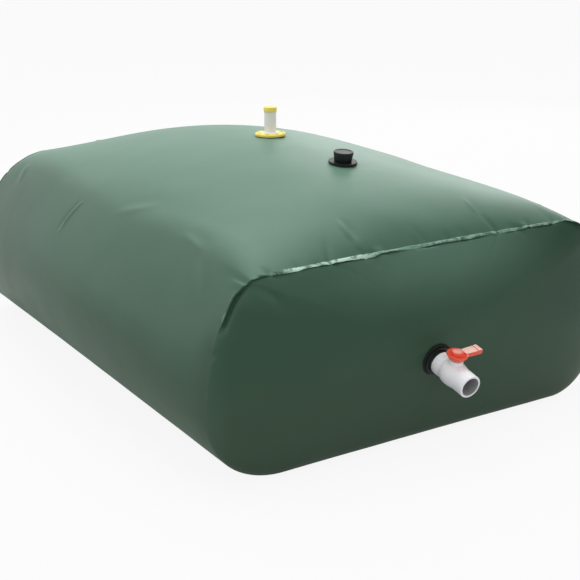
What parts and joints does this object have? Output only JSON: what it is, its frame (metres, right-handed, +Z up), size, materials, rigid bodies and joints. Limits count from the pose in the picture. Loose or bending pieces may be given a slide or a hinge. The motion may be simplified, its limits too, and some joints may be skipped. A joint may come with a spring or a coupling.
{
  "type": "collapsible water tank",
  "caption": "Pillow-shaped tank of coated fabric, shown full, with a ball valve low in one end, a screwed fill port and a capped vent pipe on its crown.",
  "frame": {"origin": "middle of the flat underside of the fabric envelope, on the ground", "axes": "+Z up, the outlet valve faces -Y, +Y along the tank, its lever points to +X when closed"},
  "size_m": [1.13, 1.5146, 0.6135],
  "materials": {
    "coated_fabric": "satin",
    "white_pvc": "semi-gloss",
    "black_plastic": "satin",
    "red_plastic": "semi-gloss",
    "yellow_plastic": "semi-gloss",
    "clear_pipe": "translucent",
    "chromed_ball": "polished",
    "seal_rubber": "matte",
    "white_seat": "smooth",
    "steel_fasteners": "plain"
  },
  "bodies": {
    "tank": {"tank_wrap": "coated_fabric", "front_end_panel": "coated_fabric", "rear_end_panel": "coated_fabric", "front_seam_lip": "coated_fabric", "rear_seam_lip": "coated_fabric", "outlet_spigot": "black_plastic", "outlet_inner_gasket": "seal_rubber", "outlet_washer": "seal_rubber", "outlet_locknut": "black_plastic", "valve_body": "white_pvc", "valve_end_socket": "white_pvc", "seat_ring_inner": "white_seat", "seat_ring_outer": "white_seat", "fill_neck": "black_plastic", "fill_gasket": "seal_rubber", "fill_nut": "black_plastic", "vent_flange": "yellow_plastic", "vent_gasket": "seal_rubber", "vent_backing_ring": "yellow_plastic", "vent_bolts": "steel_fasteners", "vent_nuts": "steel_fasteners", "vent_tube": "clear_pipe"},
    "valve_lever": {"valve_handle": "red_plastic", "valve_stem": "white_pvc", "valve_ball": "chromed_ball", "stem_oring_lower": "seal_rubber", "stem_oring_upper": "seal_rubber"},
    "fill_cap_carrier": {"fill_cap_liner": "seal_rubber"},
    "fill_cap": {"fill_cap": "black_plastic"},
    "vent_cap": {"vent_cap": "yellow_plastic"}
  },
  "joints": [
    {"name": "valve_turn", "type": "hinge", "parent": "tank", "child": "valve_lever", "pos_m": [0, -0.75388, 0.16856], "axis": [0, 0.225, -0.9744], "range_deg": [0, 90]},
    {"name": "fill_cap_lift", "type": "slide", "parent": "tank", "child": "fill_cap_carrier", "axis": [0, -0.1096, 0.994], "range_m": [0, 0.0121]},
    {"name": "fill_cap_turn", "type": "hinge", "parent": "fill_cap_carrier", "child": "fill_cap", "pos_m": [0.033, -0.30073, 0.54987], "axis": [0, -0.1096, 0.994], "range_deg": [0, 1080]},
    {"name": "vent_cap_lift", "type": "slide", "parent": "tank", "child": "vent_cap", "axis": [0, 0.0068, 1], "range_m": [0, 0.025]}
  ],
  "couplings": [
    {"joint": "fill_cap_lift", "follows": "fill_cap_turn", "m_per_rad": 0.00063662}
  ]
}
